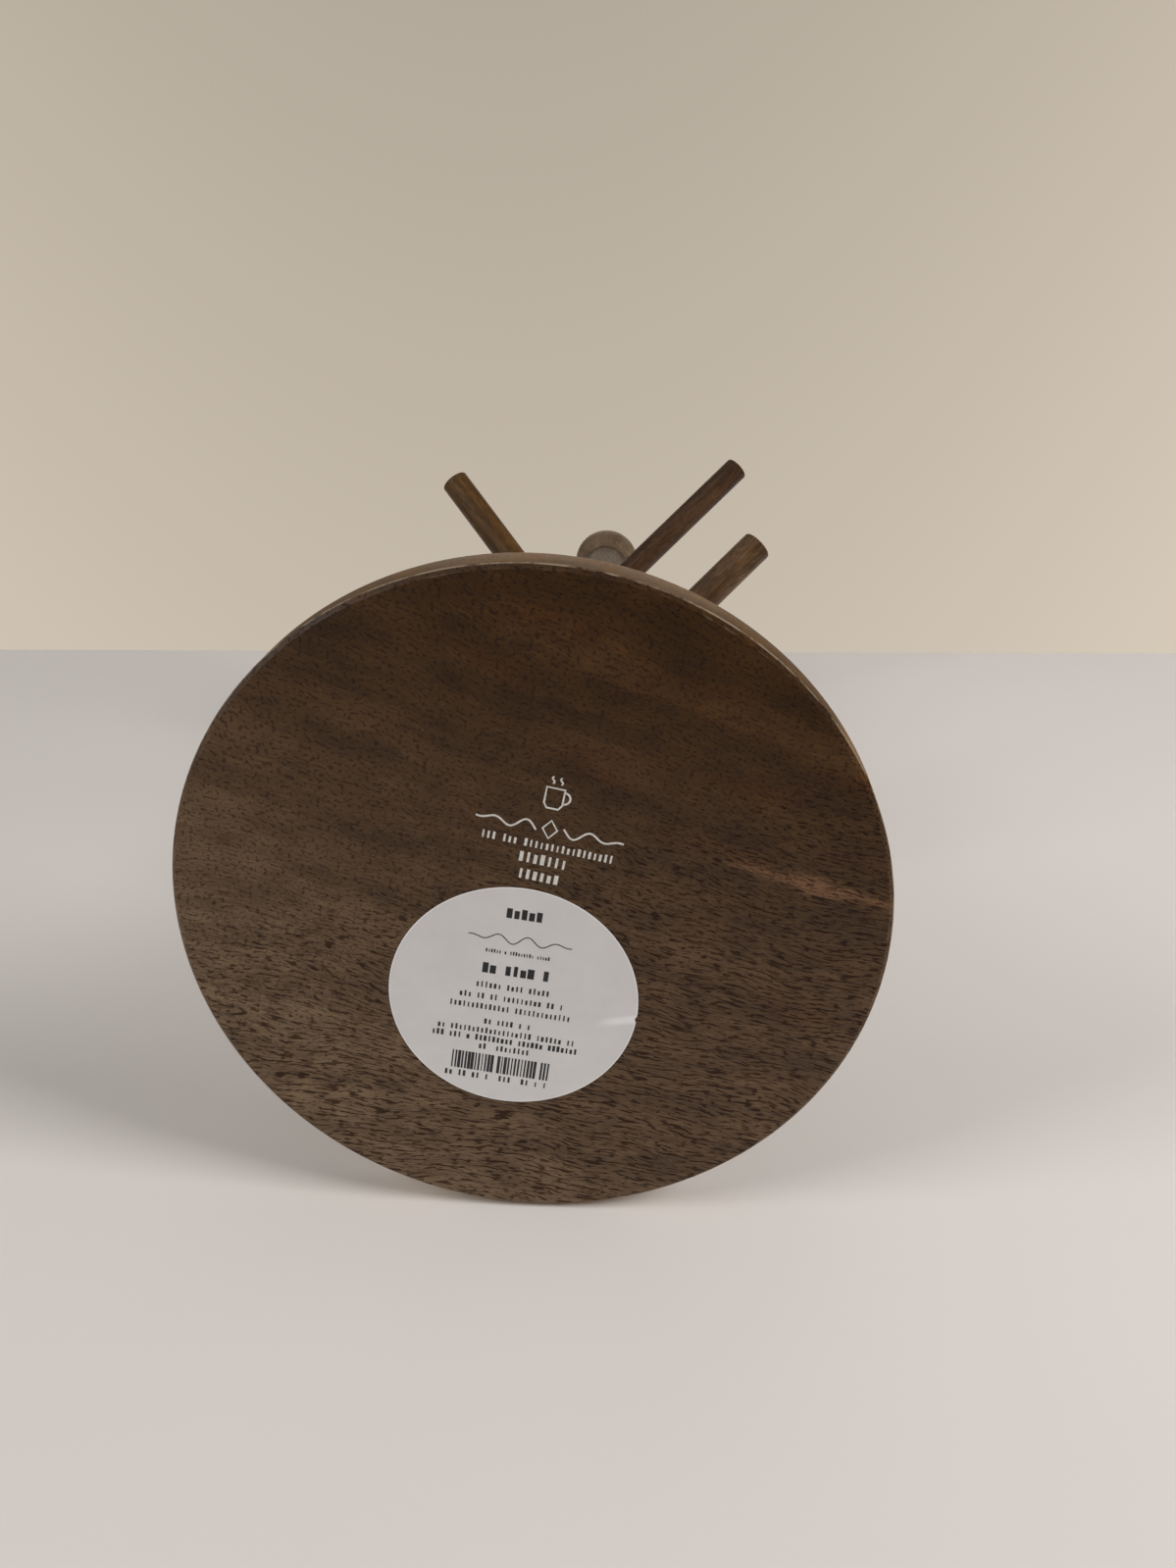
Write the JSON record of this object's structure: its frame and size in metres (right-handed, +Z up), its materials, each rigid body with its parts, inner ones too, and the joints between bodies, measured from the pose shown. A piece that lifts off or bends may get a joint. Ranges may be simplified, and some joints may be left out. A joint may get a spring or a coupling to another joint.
{
  "type": "mug tree",
  "caption": "Wooden mug tree: a straight post on a round base, angled pegs in crossing tiers, and a ball knob on top.",
  "frame": {"origin": "centre of the base's underside", "axes": "+Z up along the post; the lower and upper pegs lie along X, and the middle pegs along Y"},
  "size_m": [0.178, 0.178, 0.4],
  "materials": {
    "base_wood": "satin dark-brown stain, open pores",
    "post_wood": "satin dark-brown stain, open pores",
    "peg_wood": "satin dark-brown stain, open pores",
    "knob_wood": "satin dark-brown stain, turned",
    "dowel_wood": "bare beech",
    "zinc_steel": "bright zinc plate",
    "label_paper": "smooth coated paper"
  },
  "bodies": {
    "root": {"base_plate": "base_wood", "post": "post_wood", "peg_lower_right": "peg_wood", "peg_lower_left": "peg_wood", "peg_middle_front": "peg_wood", "peg_middle_back": "peg_wood", "peg_upper_right": "peg_wood", "peg_upper_left": "peg_wood", "top_knob": "knob_wood", "knob_dowel": "dowel_wood", "base_screw": "zinc_steel", "care_label": "label_paper"}
  },
  "joints": []
}
